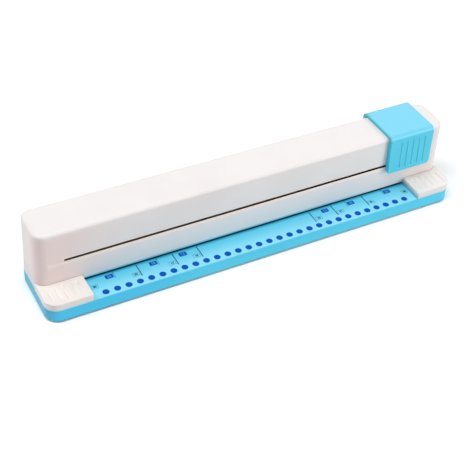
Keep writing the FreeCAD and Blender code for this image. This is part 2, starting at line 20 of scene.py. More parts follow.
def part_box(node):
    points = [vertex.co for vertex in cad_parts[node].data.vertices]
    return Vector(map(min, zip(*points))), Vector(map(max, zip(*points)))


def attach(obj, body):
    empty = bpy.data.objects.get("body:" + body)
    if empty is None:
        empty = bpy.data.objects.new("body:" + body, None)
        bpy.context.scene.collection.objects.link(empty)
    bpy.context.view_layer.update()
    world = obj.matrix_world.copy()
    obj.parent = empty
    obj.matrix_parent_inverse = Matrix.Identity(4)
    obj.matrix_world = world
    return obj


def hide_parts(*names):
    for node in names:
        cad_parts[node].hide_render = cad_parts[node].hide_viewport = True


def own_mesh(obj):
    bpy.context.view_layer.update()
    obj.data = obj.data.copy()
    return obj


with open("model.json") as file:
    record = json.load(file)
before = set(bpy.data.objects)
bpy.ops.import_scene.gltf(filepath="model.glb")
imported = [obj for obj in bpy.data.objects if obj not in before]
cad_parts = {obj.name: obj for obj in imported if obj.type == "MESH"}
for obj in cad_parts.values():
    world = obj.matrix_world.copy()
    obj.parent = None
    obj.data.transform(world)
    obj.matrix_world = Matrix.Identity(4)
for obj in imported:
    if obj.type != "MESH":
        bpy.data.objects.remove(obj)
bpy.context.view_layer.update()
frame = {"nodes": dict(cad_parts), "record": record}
scene = bpy.context.scene

# %% [markdown]
# ## Camera
#
# A photograph is matched best by finding where its camera stood. The thirty dots on the ledge are
# evenly spaced, so their places in the picture give the position, the turn and the lens. The
# picture is a crop of a larger one, which shows as a small shift of the lens.

# %% Camera
image_size = 466
focal_pixels = 1117.24
centre_pixels = (259.19, 211.93)
camera_place = (-0.36415, -0.60402, 0.61139)
heading, tilt, roll = (math.radians(angle) for angle in (-31.78, 50.26, 4.99))

camera_data = bpy.data.cameras.new("studio_camera")
camera_data.sensor_width = 36.0
camera_data.lens = camera_data.sensor_width * focal_pixels / image_size
camera_data.shift_x = 0.5 - centre_pixels[0] / image_size
camera_data.shift_y = centre_pixels[1] / image_size - 0.5
camera_data.clip_start = 0.05
camera_data.clip_end = 20.0
camera = bpy.data.objects.new("studio_camera", camera_data)
scene.collection.objects.link(camera)
camera.matrix_world = (
    Matrix.Translation(camera_place) @ Matrix.Rotation(heading, 4, "Z")
    @ Matrix.Rotation(tilt, 4, "X") @ Matrix.Rotation(roll, 4, "Z")
)
scene.camera = camera
print("lens:", round(camera_data.lens, 2), "mm")

# %% [markdown]
# ## Wires: shader maths as plain expressions
#
# A procedural material is a small calculation for every point of a surface. Drawing it as dozens
# of Math nodes is slow to read. This class wraps one output of the node tree, so that
# `1 - mask * 0.5` adds the Math nodes by itself. Every other node comes from its `node` method:
# settings first, then the values or links of the sockets.

# %% Wire class
class Wire:
    """One output of a material's node tree, with ordinary arithmetic on it."""

    def __init__(self, tree, socket=None):
        self.tree = tree
        self.socket = socket

    def node(self, kind, settings, sockets, out=0):
        """Adds a node with its settings, and values or Wires in its sockets. Returns an output."""
        made = self.tree.nodes.new(kind)
        for key, value in settings.items():
            setattr(made, key, value)
        for key, value in sockets.items():
            if isinstance(value, Wire):
                self.tree.links.new(value.socket, made.inputs[key])
            else:
                made.inputs[key].default_value = value
        return Wire(self.tree, made.outputs[out] if made.outputs else None)

    def math(self, operation, first, second):
        return self.node("ShaderNodeMath", {"operation": operation}, {0: first, 1: second})

    def __add__(self, other):
        return self.math("ADD", self, other)

    def __radd__(self, other):
        return self.math("ADD", other, self)

    def __sub__(self, other):
        return self.math("SUBTRACT", self, other)

    def __rsub__(self, other):
        return self.math("SUBTRACT", other, self)

    def __mul__(self, other):
        return self.math("MULTIPLY", self, other)

    def __rmul__(self, other):
        return self.math("MULTIPLY", other, self)

    def between(self, low, high):
        """0 below low and 1 above high, with a smooth step in between."""
        settings = {"interpolation_type": "SMOOTHSTEP", "clamp": True}
        return self.node("ShaderNodeMapRange", settings,
                         {"Value": self, "From Min": low, "From Max": high})


# %% [markdown]
# Every finish starts and ends in the same way: it reads the point's place on the object in metres,
# and it hands colour, roughness and a bump to one Principled shader. Colours are written as they
# look on a screen and turned into the linear values that a shader needs.

# %% Starting and ending a finish
def linear(colour):
    """Screen colour 0-255 to linear light, with an alpha of 1."""
    parts = [part / 255 for part in colour]
    parts = [p / 12.92 if p <= 0.04045 else ((p + 0.055) / 1.055) ** 2.4 for p in parts]
    return (*parts, 1.0)


def start_finish(name):
    """A new material with an empty tree: the material, a Wire to make nodes with, and the place."""
    material = bpy.data.materials.new(name)
    material.use_nodes = True
    tree = material.node_tree
    tree.nodes.clear()
    wire = Wire(tree)
    place = wire.node("ShaderNodeTexCoord", {}, {}, "Object")
    return material, wire, place


def end_finish(wire, colour, roughness, height, depth, **fixed):
    """Joins the varying colour, roughness and height to a Principled shader with fixed settings."""
    bump = wire.node("ShaderNodeBump", {}, {"Height": height, "Distance": depth, "Strength": 1.0},
                     "Normal")
    sockets = {"Base Color": colour, "Roughness": roughness, "Normal": bump}
    sockets.update(fixed)
    shader = wire.node("ShaderNodeBsdfPrincipled", {}, sockets, "BSDF")
    wire.node("ShaderNodeOutputMaterial", {}, {"Surface": shader})


def noise(wire, place, scale, detail=2.0, roughness=0.5):
    """Cloudy noise from 0 to 1; the scale is in blobs per metre."""
    return wire.node("ShaderNodeTexNoise", {"noise_dimensions": "3D"},
                     {"Vector": place, "Scale": scale, "Detail": detail, "Roughness": roughness},
                     "Fac")


def blend_colours(wire, amount, first, second):
    """A colour between two colours; the amount is a Wire from 0 to 1."""
    return wire.node("ShaderNodeMix", {"data_type": "RGBA"},
                     {"Factor": amount, 6: first, 7: second}, 2)


print("screen grey 128 in linear light:", round(linear((128, 128, 128))[0], 3))

# %% [markdown]
# ## Moulded plastic
#
# The cover, pads, base and saddle are injection-moulded ABS with a fine spark-eroded texture: tiny
# pits about a third of a millimetre apart, too small to see singly, which spread the shine into a
# satin. Larger and much fainter clouds stand for the uneven gloss that the mould and handling
# leave. Noise textures in place of an image keep all this sharp at any distance.
#
# The plastic here isn't one even colour either: zones paint light and shade into it. They paint
# shade along seams, under the cover and on faces turned to the left, and they paint highlights and
# reflections that make some tops and rims paler, warmer or bluer. Painting that by hand would need
# an image. A zone does it with a few numbers: it is a box with soft borders, in which the plastic
# blends into another colour. It reads the place on the object, so it stays on its piece in every
# view and pose.

# %% Zones of painted light and shade
def zone(colour, **limits):
    """A colour of painted light or shade; per axis that limits it: from, to, border softness, in
    mm.
    """
    return colour, limits


def inside_zone(spots, limits):
    """1 within all the limits, and falling to 0 over their soft borders."""
    masks = []
    for axis, (start, end, border) in limits.items():
        if start is not None:
            masks.append(spots[axis].between(start - border, start))
        if end is not None:
            masks.append(1 - spots[axis].between(end, end + border))
    inside = masks[0]
    for mask in masks[1:]:
        inside = inside * mask
    return inside


# %% Plastic finishes
def moulded_plastic(name, colour, shade, gloss, zones=()):
    """Satin plastic: a colour, a slightly different shade of it, a roughness and painted-light
    zones.
    """
    material, wire, place = start_finish(name)
    clouds = noise(wire, place, 22.0, 3.0)
    pits = noise(wire, place, 2600.0, 2.0, 0.6)
    drift = clouds.between(0.3, 0.75)
    tint = blend_colours(wire, drift, linear(colour), linear(shade))
    smudges = noise(wire, place, 55.0, 4.0, 0.65).between(0.45, 0.8)
    spots = {axis: wire.node("ShaderNodeSeparateXYZ", {}, {"Vector": place}, axis.upper()) * 1000.0
             for axis in "xyz"}
    for other, limits in zones:
        tint = blend_colours(wire, inside_zone(spots, limits), tint, linear(other))
    roughness = gloss + pits * 0.06 + smudges * 0.05 - drift * 0.03
    end_finish(wire, tint, roughness, pits, 0.00002, IOR=1.5)
    return material


def slot_shadow(name):
    """Painted shade for plastic deep inside a slot: nearly black, matt, with a little dust."""
    material, wire, place = start_finish(name)
    dust = noise(wire, place, 500.0, 4.0, 0.6).between(0.4, 0.8)
    tint = blend_colours(wire, dust, linear((26, 13, 7)), linear((38, 22, 13)))
    end_finish(wire, tint, 0.80 + dust * 0.10, dust, 0.00002, IOR=1.05)
    return material


# %% [markdown]
# The zones are measured from the boxes of the CAD nodes, and so are most of the pieces later on.
# Only the slot's place and the pieces' small forms are numbers of their own.

# %% Measures of the big pieces
def in_mm(node):
    """A CAD node's lowest and highest corners, in millimetres."""
    return [corner * 1000 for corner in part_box(node)]


cover_low, cover_high = in_mm("housing_shell")
base_low, base_high = in_mm("base_shell")
cap_low, cap_high = in_mm("slider_cap")
pad_low, pad_high = in_mm("right_hold_pad")
deck = base_high.z
front_edge = base_low.y
gap_half = pad_low.x
slot_level = 38.6
slot_height = 2.75
slot_end = 162.55
slot_low = slot_level - slot_height / 2
slot_high = slot_level + slot_height / 2
print("deck at", round(deck, 2), "mm, between the pads", round(2 * gap_half, 2), "mm")

# %% Zones of the base and the saddle
on_deck = (deck - 0.4, None, 0.6)
below_deck = (None, deck - 0.4, 0.6)
under_pads = (deck - 1, None, 1)
dark_level = (deck - 1, None, 0.3)
between_pads = (-gap_half, gap_half, 0.3)
# Each zone of the base is painted light or shade.
base_painted_light = [
    # Painted shade: the front wall darker towards the left, and the seams below the two pads.
    zone((58, 204, 246), x=(None, -120, 70), y=(None, front_edge + 3, 3), z=below_deck),
    zone((66, 188, 212), x=(gap_half, None, 0.5), z=under_pads),
    zone((60, 188, 216), x=(None, -gap_half, 0.5), z=under_pads),
    # Painted shade on the left end; then a painted sheen on the deck, paler towards its front.
    zone((70, 178, 214), x=(None, base_low.x + 1, 5), z=(None, deck + 1, 0.6)),
    zone((90, 203, 234), z=on_deck),
    zone((136, 220, 244), y=(None, front_edge + 4, 17), z=on_deck),
    # Painted shade: deck near and under the cover, beside the right pad, and the bottom edge.
    zone((36, 162, 198), x=between_pads, y=(cover_low.y + 0.2, cover_low.y + 6, 4), z=dark_level),
    zone((2, 80, 102), x=between_pads, y=(cover_low.y - 0.1, cover_low.y + 6, 0.8), z=dark_level),
    zone((44, 150, 182), x=(gap_half - 0.4, None, 1.2), z=on_deck),
    zone((30, 74, 88), y=(None, front_edge + 1.5, 1), z=(None, base_low.z + 0.4, 0.4)),
]
saddle_painted_light = [
    # A painted sheen on the top, painted shade on the left end and a painted shadow at its upper
    # rim.
    zone((113, 211, 240), z=(cap_high.z - 1.8, None, 1)),
    zone((44, 198, 228), x=(None, cap_low.x + 0.8, 0.7)),
    zone((72, 184, 202), x=(None, cap_low.x + 0.2, 1.8), z=(cap_high.z - 4, None, 2)),
]
print("zones:", len(base_painted_light), "and", len(saddle_painted_light))

# %% Zones of the cover and the pads
front_wall = (None, cover_low.y + 1, 1)
front_skin = (None, cover_low.y + 3, 2)
pad_line = (None, pad_high.z + 0.2, 0.6)
cover_painted_light = [
    # Painted warm shade on the front's left part, a painted highlight on the slot's rims,
    # and a painted blue reflection and shade on the lower edge over the ledge.
    zone((240, 223, 220), x=(None, -170, 60), y=(None, cover_low.y + 9, 6),
         z=(None, cover_high.z - 6, 4)),
    zone((248, 233, 222), x=(-slot_end, slot_end, 3), y=front_wall,
         z=(slot_low - 1.2, slot_high + 0.4, 1.2)),
    zone((157, 208, 223), x=(-gap_half, gap_half, 0.5), y=front_wall, z=(None, 15.6, 1.6)),
    # Painted shade at the foot of the left end, painted warm light at the foot below the saddle,
    # and painted shade along the seams above the pads.
    zone((228, 221, 222), x=(None, cover_low.x + 2, 1), z=(None, 18, 14)),
    zone((249, 236, 230), x=(130, None, 50), y=(None, cover_low.y + 1, 8), z=(None, 22, 18)),
    zone((204, 190, 182), x=(cover_low.x + 3, -gap_half, 2), y=front_skin, z=pad_line),
    zone((206, 196, 192), x=(gap_half, None, 0.3), y=front_skin, z=pad_line),
]
pad_painted_light = [
    # Painted shade on the right pad's inner side,
    # and a painted blue reflection on both pads' lowest edge.
    zone((160, 192, 200), x=(gap_half - 1, gap_half + 0.3, 0.6), z=(None, deck + 0.8, 3.4)),
    zone((200, 226, 236), z=(None, deck + 0.3, 0.5)),
]
print("zones:", len(cover_painted_light), "and", len(pad_painted_light))

# %% Plastics
# The zones handed to the plastics here paint light and shade into their colours.
plastics = [
    moulded_plastic("warm_white_shell", (240, 236, 235), (236, 231, 230), 0.42, cover_painted_light),
    moulded_plastic("warm_white_pad", (238, 232, 228), (234, 228, 224), 0.42, pad_painted_light),
    moulded_plastic("sky_blue_base", (76, 212, 245), (71, 208, 241), 0.38, base_painted_light),
    moulded_plastic("sky_blue_saddle", (82, 213, 241), (77, 209, 238), 0.38, saddle_painted_light),
    moulded_plastic("sky_blue_drawer", (92, 206, 237), (87, 201, 233), 0.42),
    slot_shadow("slot_shadow"),
]
shell_white, pad_white, base_blue, saddle_blue, drawer_blue, slot_dark = plastics
print("plastics:", [plastic.name for plastic in plastics])

# %% [markdown]
# ## Steel, zinc and rubber
#
# Under the cover are cold-rolled strips with a fine rolling grain along their length, ground pins
# with rings round their axis, die-cast frames with a grainy skin, and black rubber feet. Metal
# gets its look from how it scatters reflections, so most of the detail goes into the roughness
# and a very shallow bump, and the noise is stretched to lie in the direction of the tool marks.

# %% Metal and rubber finishes
def streaky_metal(name, colour, dull, streaks, gloss):
    """Metal with tool marks: the noise scale on each axis sets the way that they run."""
    material, wire, place = start_finish(name)
    stretched = wire.node("ShaderNodeMapping", {"vector_type": "POINT"},
                          {"Vector": place, "Scale": streaks}, "Vector")
    grain = noise(wire, stretched, 1.0, 3.0, 0.6)
    patches = noise(wire, place, 70.0, 3.0).between(0.35, 0.8)
    tint = blend_colours(wire, patches, linear(colour), linear(dull))
    roughness = gloss + grain * 0.16 + patches * 0.08
    end_finish(wire, tint, roughness, grain, 0.000015, Metallic=1.0)
    return material


def cast_zinc(name):
    """Die-cast metal: a matt, faintly mottled skin."""
    material, wire, place = start_finish(name)
    skin = noise(wire, place, 1500.0, 4.0, 0.7)
    mottle = noise(wire, place, 160.0, 3.0).between(0.3, 0.8)
    tint = blend_colours(wire, mottle, linear((176, 178, 182)), linear((150, 152, 157)))
    end_finish(wire, tint, 0.42 + mottle * 0.15 + skin * 0.08, skin, 0.00004, Metallic=1.0)
    return material


def black_rubber(name):
    """Soft black rubber with a powdery bloom."""
    material, wire, place = start_finish(name)
    bloom = noise(wire, place, 300.0, 4.0, 0.6).between(0.4, 0.8)
    grain = noise(wire, place, 3000.0, 2.0)
    tint = blend_colours(wire, bloom, linear((34, 34, 35)), linear((54, 53, 53)))
    end_finish(wire, tint, 0.68 + bloom * 0.18, grain, 0.00003)
    return material


# %% Metals and rubber
along_x = (25.0, 4000.0, 4000.0)
round_y = (3500.0, 300.0, 3500.0)
round_z = (900.0, 900.0, 9000.0)
sheet_steel = streaky_metal("zinc_plated_sheet", (196, 199, 203), (176, 178, 181), along_x, 0.24)
screw_steel = streaky_metal("plated_screws", (190, 192, 196), (160, 160, 162), round_z, 0.26)
pin_steel = streaky_metal("ground_pins", (204, 205, 208), (182, 183, 187), round_z, 0.16)
wheel_steel = streaky_metal("turned_wheels", (190, 191, 195), (168, 168, 172), round_y, 0.20)
spring_steel = streaky_metal("spring_wire", (170, 171, 175), (140, 140, 144), round_z, 0.22)
zinc = cast_zinc("cast_zinc")
rubber = black_rubber("black_rubber")
print("finishes so far:", len(bpy.data.materials))

# %% [markdown]
# The CAD nodes that stay as they are get these finishes through their material slots. Their
# meshes are never touched.

# %% Finishes on the CAD nodes
finish_of_slot = {
    "blue_base": base_blue, "blue_slider": saddle_blue, "white_shell": shell_white,
    "white_pad": pad_white, "rubber": rubber, "steel": sheet_steel, "screw_steel": screw_steel,
    "pin_steel": pin_steel, "wheel_steel": wheel_steel, "spring_steel": spring_steel, "zinc": zinc,
}
for subpart in frame["record"]["subparts"]:
    node = frame["nodes"][subpart["node"]]
    material = finish_of_slot[subpart["material_slot"]]
    if subpart["node"] == "chip_drawer":
        material = drawer_blue
    if not node.material_slots:
        node.data.materials.append(material)
    for material_slot in node.material_slots:
        material_slot.material = material

# %% [markdown]
# ## Helpers for pieces
#
# A bmesh is Blender's editable mesh. Each piece below starts from a `create_` shape, is shaped with
# operators in millimetres, and ends in `make_piece`, which shrinks it to metres, shades its curved
# faces smooth and ties it to the CAD body that it moves with. Smooth shading bends the light on a
# large flat face next to a narrow rounding, so a Weighted Normal modifier lets large faces decide.

# %% From a bmesh to a piece
def shape_object(bm, name):
    """An object in the scene that carries a bmesh. The bmesh itself goes."""
    mesh = bpy.data.meshes.new(name)
    bm.to_mesh(mesh)
    bm.free()
    carrier = bpy.data.objects.new(name, mesh)
    scene.collection.objects.link(carrier)
    return carrier


def make_piece(name, bm, body, material, nodes=(), smooth_degrees=35.0):
    """Turns a bmesh in millimetres into a finished object that rides on a CAD body."""
    bmesh.ops.scale(bm, vec=(0.001, 0.001, 0.001), verts=bm.verts)
    for face in bm.faces:
        face.smooth = True
    limit = math.radians(smooth_degrees)
    for edge in bm.edges:
        edge.smooth = edge.is_manifold and edge.calc_face_angle(0.0) < limit
    piece = shape_object(bm, name)
    piece.data.materials.append(material)
    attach(piece, body)
    if nodes:
        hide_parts(*nodes)
    weighted = piece.modifiers.new("large faces stay flat", "WEIGHTED_NORMAL")
    weighted.mode = "FACE_AREA"
    weighted.keep_sharp = True
    print(name + ":", len(piece.data.polygons), "faces on", body)
    return piece


# %% Shaping tools
def same(first, second):
    """Whether two measures in millimetres are equal, but for rounding."""
    return abs(first - second) < 0.01


def block(bm, low, high):
    """A cube stretched between two corners. Returns its vertices."""
    low, high = Vector(low), Vector(high)
    verts = bmesh.ops.create_cube(bm, size=1.0)["verts"]
    bmesh.ops.scale(bm, vec=high - low, verts=verts)
    bmesh.ops.translate(bm, vec=(low + high) / 2, verts=verts)
    return verts


def soften(bm, edges, width, segments):
    """Rounds edges over."""
    bmesh.ops.bevel(bm, geom=edges, offset=width, offset_type="OFFSET", segments=segments,
                    profile=0.5, affect="EDGES", clamp_overlap=True, material=-1)


def edges_where(bm, test, along=None):
    """The edges whose ends both pass a test; with along, only those that run along that axis."""
    found = [e for e in bm.edges if test(e.verts[0].co) and test(e.verts[1].co)]
    if along is not None:
        found = [e for e in found if abs(e.verts[0].co[along] - e.verts[1].co[along]) > 1.0]
    return found


def faces_where(bm, test):
    """The faces whose middle passes a test."""
    return [f for f in bm.faces if test(f.calc_center_median())]


def slice_at(bm, faces, point, normal):
    """Cuts some faces along a plane, without removing anything."""
    geometry = set(faces)
    for face in faces:
        geometry.update(face.edges)
        geometry.update(face.verts)
    bmesh.ops.bisect_plane(bm, geom=list(geometry), dist=0.0001, plane_co=point, plane_no=normal)


def face_outward(bm):
    """Turns the faces of a shape outward."""
    bmesh.ops.recalc_face_normals(bm, faces=bm.faces)


def open_edges(bm):
    """How many edges don't join exactly two faces. A closed piece has none."""
    return sum(not e.is_manifold for e in bm.edges)


# %% [markdown]
# ## The cover
#
# The white cover is a long upturned tray, 2.5 mm thick, with well-rounded upright corners and a
# small rounding along its top. Its two ends lean in by a millimetre, so that it leaves its mould.
# A slot runs along its front and its back for the saddle's carriage, and the front is relieved at
# the bottom to let the work in. A block is the right start: the top is narrowed, the upright
# corners and the top rim are bevelled, the openings are cut as faces, and only then does the skin
# get its thickness, so that the walls follow every opening.

# %% Cover skin
end_draft = 1.15
front_corner = 9.0
rear_corner = 7.0
top_round = 2.9

bm = bmesh.new()
for vert in block(bm, cover_low, cover_high):
    if vert.co.z > slot_level:
        vert.co.x -= math.copysign(end_draft, vert.co.x)
soften(bm, edges_where(bm, lambda p: same(p.y, cover_low.y), along=2), front_corner, 12)
soften(bm, edges_where(bm, lambda p: same(p.y, cover_high.y), along=2), rear_corner, 10)
soften(bm, edges_where(bm, lambda p: same(p.z, cover_high.z)), top_round, 8)
underside = faces_where(bm, lambda p: same(p.z, cover_low.z))
bmesh.ops.delete(bm, geom=underside, context="FACES")
print("cover skin:", len(bm.faces), "faces")

# %% Cover openings
wall = 2.5
throat_end = 149.0
throat_top = 14.9
thinning = 3.5
lip_middle = 1.7


def front_or_rear(p):
    return same(p.y, cover_low.y) or same(p.y, cover_high.y)


def in_slot_band(p):
    return front_or_rear(p) and slot_low < p.z < slot_high


def in_throat_band(p):
    return same(p.y, cover_low.y) and p.z < throat_top


for level in (slot_low, slot_high, slot_low - thinning, slot_low - lip_middle,
              slot_high + thinning, throat_top):
    slice_at(bm, bm.faces[:], (0, 0, level), (0, 0, 1))
openings = []
for in_band, reach in ((in_slot_band, slot_end), (in_throat_band, throat_end)):
    for end in (-reach, reach):
        slice_at(bm, faces_where(bm, in_band), (end, 0, 0), (1, 0, 0))
for in_band, reach in ((in_slot_band, slot_end), (in_throat_band, throat_end)):
    openings += faces_where(bm, lambda p: in_band(p) and abs(p.x) < reach)
bmesh.ops.delete(bm, geom=openings, context="FACES")
face_outward(bm)
bmesh.ops.solidify(bm, geom=bm.faces[:], thickness=wall)
face_outward(bm)
print("cover wall:", len(bm.faces), "faces")

# %% [markdown]
# The slot reads as a thin, nearly black line with a paler lip below it. Along the slot the wall is
# thinned from inside, which lets the eye look past it into the dark. Below the slot the outer face
# leans back by most of a millimetre, as on a rolled lip, so that it catches the light from above.
# The cover's inner faces are deep in shadow on the real thing. A bright studio would still reach
# them here, so they get painted shade instead: a dark, matt material of their own.

# %% Slot lips
lip_thickness = 1.1
lip_lean = 0.8
lip_lean_at_middle = 0.25
lip_chamfer = 0.25
lip_end = slot_end + 6
cover_middle = (cover_low + cover_high) / 2

for vert in bm.verts:
    at_rim = same(vert.co.z, slot_low) or same(vert.co.z, slot_high)
    if at_rim and abs(vert.co.x) < slot_end + wall + 0.01:
        if same(vert.co.y, cover_low.y + wall):
            vert.co.y = cover_low.y + lip_thickness
        elif same(vert.co.y, cover_high.y - wall):
            vert.co.y = cover_high.y - lip_thickness
for vert in bm.verts:
    drop = slot_low - vert.co.z
    at_lip = front_or_rear(vert.co) and abs(vert.co.x) < lip_end
    if at_lip and -0.01 < drop < lip_middle + 0.01:
        share = 1.0 if same(drop, 0) else lip_lean_at_middle
        vert.co.y -= math.copysign(lip_lean * share, vert.co.y - cover_middle.y)
leaning = (cover_low.y + lip_lean, cover_high.y - lip_lean)
lower_lips = edges_where(bm, lambda p: same(p.z, slot_low) and abs(p.x) < slot_end + 0.01
                         and min(abs(p.y - y) for y in leaning) < 0.01)
soften(bm, lower_lips, lip_chamfer, 1)
print("lip edges:", len(lower_lips), "open edges:", open_edges(bm))

# %% Painted shade inside the cover
slot_spill = 0.2

# Painted shade: faces in the slot and faces turned inward take the dark second material.
for face in bm.faces:
    spot = face.calc_center_median()
    depth = min(spot.y - cover_low.y, cover_high.y - spot.y)
    in_slot = (0.3 < depth < wall + 0.1 and abs(spot.x) < slot_end + 1
               and slot_low - slot_spill < spot.z < slot_high + slot_spill)
    faces_in = face.normal.dot(spot - cover_middle) < 0 and spot.z > cover_low.z + 1
    if in_slot or faces_in:
        face.material_index = 1
cover = make_piece("moulded_cover", bm, "body", shell_white, ["housing_shell"])
cover.data.materials.append(slot_dark)

# %% [markdown]
# ## The saddle
#
# The blue saddle straddles the cover. Its front and rear skirts lean out and narrow slightly
# towards the bottom, its two long edges are generously round, and five upright grooves give the
# thumb and fingers a grip. It starts as a block whose corners are moved and whose long edges are
# rounded over. A tunnel is then cut right through it: the two end faces are sliced, their inner
# part is dropped, and the two rims are bridged, which makes the tunnel's walls and ceiling.

# %% Saddle body
middle = (cap_low + cap_high) / 2
front_flare = 1.8
rear_flare = 1.2
taper = 1.05
long_round = 4.0
tunnel_half = (cover_high.y - cover_low.y) / 2 + 0.6
ceiling = cover_high.z + 0.3

bm = bmesh.new()
for vert in block(bm, cap_low, cap_high):
    if vert.co.z > middle.z:
        vert.co.y += front_flare if vert.co.y < middle.y else -rear_flare
    else:
        vert.co.x -= math.copysign(taper, vert.co.x - middle.x)
soften(bm, edges_where(bm, lambda p: same(p.z, cap_high.z), along=0), long_round, 10)
print("saddle block:", len(bm.faces), "faces")

# %% Saddle tunnel
def is_end(f):
    return abs(f.normal.x) > 0.9


def in_tunnel(p):
    return abs(p.y - middle.y) < tunnel_half - 0.01 and p.z < ceiling - 0.01


for y in (middle.y - tunnel_half, middle.y + tunnel_half):
    slice_at(bm, [f for f in bm.faces if is_end(f) or f.normal.z < -0.9], (0, y, 0), (0, 1, 0))
slice_at(bm, [f for f in bm.faces if is_end(f)], (0, 0, ceiling), (0, 0, 1))
mouths = [f for f in bm.faces if is_end(f) and in_tunnel(f.calc_center_median())]
bmesh.ops.delete(bm, geom=mouths, context="FACES_ONLY")
bmesh.ops.bridge_loops(bm, edges=[e for e in bm.edges if e.is_boundary])
floor_faces = faces_where(bm, lambda p: in_tunnel(p) and same(p.z, cap_low.z))
bmesh.ops.delete(bm, geom=floor_faces, context="FACES")
face_outward(bm)
print("saddle tunnel:", len(floor_faces), "floors, open edges:", open_edges(bm))

# %% [markdown]
# The lower corners of each skirt are round, the right-hand ones more than the left-hand ones as on
# the real saddle, and every outer edge is softened, because a hand takes hold of them.

# %% Saddle edges
left_foot_round, right_foot_round = 1.2, 3.2
saddle_edge = 1.1

for side, radius, segments in ((-1, left_foot_round, 5), (1, right_foot_round, 7)):
    corners = edges_where(bm, lambda p: same(p.z, cap_low.z) and (p.x - middle.x) * side > 0,
                          along=1)
    soften(bm, corners, radius, segments)
rim_edges = []
for edge in bm.edges:
    if sorted(is_end(f) for f in edge.link_faces) == [False, True]:
        spot = (edge.verts[0].co + edge.verts[1].co) / 2
        outside = abs(spot.y - middle.y) > tunnel_half + 0.5 or spot.z > ceiling + 0.5
        if outside and edge.calc_face_angle(0.0) > math.radians(60):
            rim_edges.append(edge)
soften(bm, rim_edges, saddle_edge, 4)
print("saddle rims:", len(rim_edges), "edges")

# %% [markdown]
# The grooves are faces sliced out of the skirts and pushed in with sloping sides. They are
# shallow: about half a millimetre is enough for the light to draw two fine lines. The same tool
# presses the pads' grooves later.

# %% Grooves
def press_grooves(bm, on_skin, run, ends, places, width, slope, depth):
    """Slices strips out of a flat skin at places along X, and pushes them in.

    The strips run along another axis, whose index is run, from one end to the other.
    """
    direction = Vector((0, 0, 0))
    direction[run] = 1

    def in_band(f):
        return on_skin(f) and ends[0] < f.calc_center_median()[run] < ends[1]

    for end in ends:
        slice_at(bm, [f for f in bm.faces if on_skin(f)], direction * end, direction)
    for place in places:
        for x in (place - width / 2, place + width / 2):
            slice_at(bm, [f for f in bm.faces if in_band(f)], (x, 0, 0), (1, 0, 0))
    strips = [f for f in bm.faces if in_band(f)
              and min(abs(f.calc_center_median().x - place) for place in places) < 0.2]
    bmesh.ops.inset_individual(bm, faces=strips, thickness=slope, depth=-depth,
                               use_even_offset=True)
    return len(strips)


# %% Saddle grooves
groove_count = 5
groove_first = cap_low.x + 11.2
groove_pitch = 6.0
groove_ends = (cap_low.z + 3.2, cap_high.z - 7.0)


def outer_skin(f):
    return abs(f.normal.y) > 0.9 and abs(f.calc_center_median().y - middle.y) > tunnel_half + 1.0


places = [groove_first + index * groove_pitch for index in range(groove_count)]
grooves = press_grooves(bm, outer_skin, 2, groove_ends, places, width=2.6, slope=0.45, depth=0.6)
print("saddle grooves:", grooves)
make_piece("blue_saddle", bm, "slider", saddle_blue, ["slider_cap"])

# %% [markdown]
# ## The end pads
#
# Two white pads stand at the ledge's ends. Each has a skirt that laps over the deck's edge, and a
# horn that wraps round the cover's front corner. Five shallow, wide grooves run from front to
# back. A pad is a softened block, and the room for the cover and for the deck is then cut out of
# it. Curved cuts like these are what a Boolean is for. The grooves come last.

# %% Cutting one bmesh with another
def final_shape(carrier):
    """A bmesh of an object as its modifiers or letters leave it. The object itself goes."""
    mesh = bpy.data.meshes.new_from_object(
        carrier.evaluated_get(bpy.context.evaluated_depsgraph_get()))
    bpy.data.objects.remove(carrier)
    bm = bmesh.new()
    bm.from_mesh(mesh)
    bpy.data.meshes.remove(mesh)
    return bm


def cut_away(bm, tool):
    """Cuts one bmesh out of another and returns what is left."""
    body = shape_object(bm, "to_cut")
    cutter = shape_object(tool, "cutter")
    boolean = body.modifiers.new("cut", "BOOLEAN")
    boolean.operation = "DIFFERENCE"
    boolean.solver = "EXACT"
    boolean.object = cutter
    left = final_shape(body)
    bpy.data.objects.remove(cutter)
    return left


def rounded_block(low, high, corners):
    """A block with round upright corners: {(x side, y side): radius}."""
    bm = bmesh.new()
    block(bm, low, high)
    for (x_side, y_side), radius in corners.items():
        x = low[0] if x_side < 0 else high[0]
        y = low[1] if y_side < 0 else high[1]
        near = edges_where(bm, lambda p: same(p.x, x) and same(p.y, y), along=2)
        soften(bm, near, radius, max(3, round(radius)))
    return bm


# %% Pad body
pad_skirt = 1.0
pad_step = 1.1
pad_seam = 0.1
pad_round = 1.6
base_corner = 10.5
inner_corner = 0.7
rear_horn_corner = 0.5


def pad_body(node):
    """A pad before its grooves: softened, and cut free of the cover and the deck."""
    low, high = in_mm(node)
    low.z = deck - pad_skirt
    side = 1 if high.x > 0 else -1
    bm = rounded_block(low, high, {(side, -1): base_corner, (side, 1): rear_horn_corner,
                                   (-side, -1): inner_corner, (-side, 1): inner_corner})
    soften(bm, edges_where(bm, lambda p: same(p.z, high.z)), pad_round, 5)
    foot_low = Vector((cover_low.x - pad_seam, cover_low.y - pad_seam, low.z - 1))
    foot_high = Vector((cover_high.x + pad_seam, cover_high.y + pad_seam, high.z + 1))
    bm = cut_away(bm, rounded_block(foot_low, foot_high, {(side, -1): front_corner + pad_seam}))
    inner = (low.x if side > 0 else high.x) - side
    outer = (high.x if side > 0 else low.x) - side * pad_step
    seat_low = Vector((min(inner, outer), low.y + pad_step, low.z - 1))
    seat_high = Vector((max(inner, outer), high.y + 1, low.z + pad_skirt))
    return cut_away(bm, rounded_block(seat_low, seat_high, {(side, -1): base_corner - pad_step}))


# %% Pads
pad_groove_margin = 4.0
pad_groove_pitch = 5.9

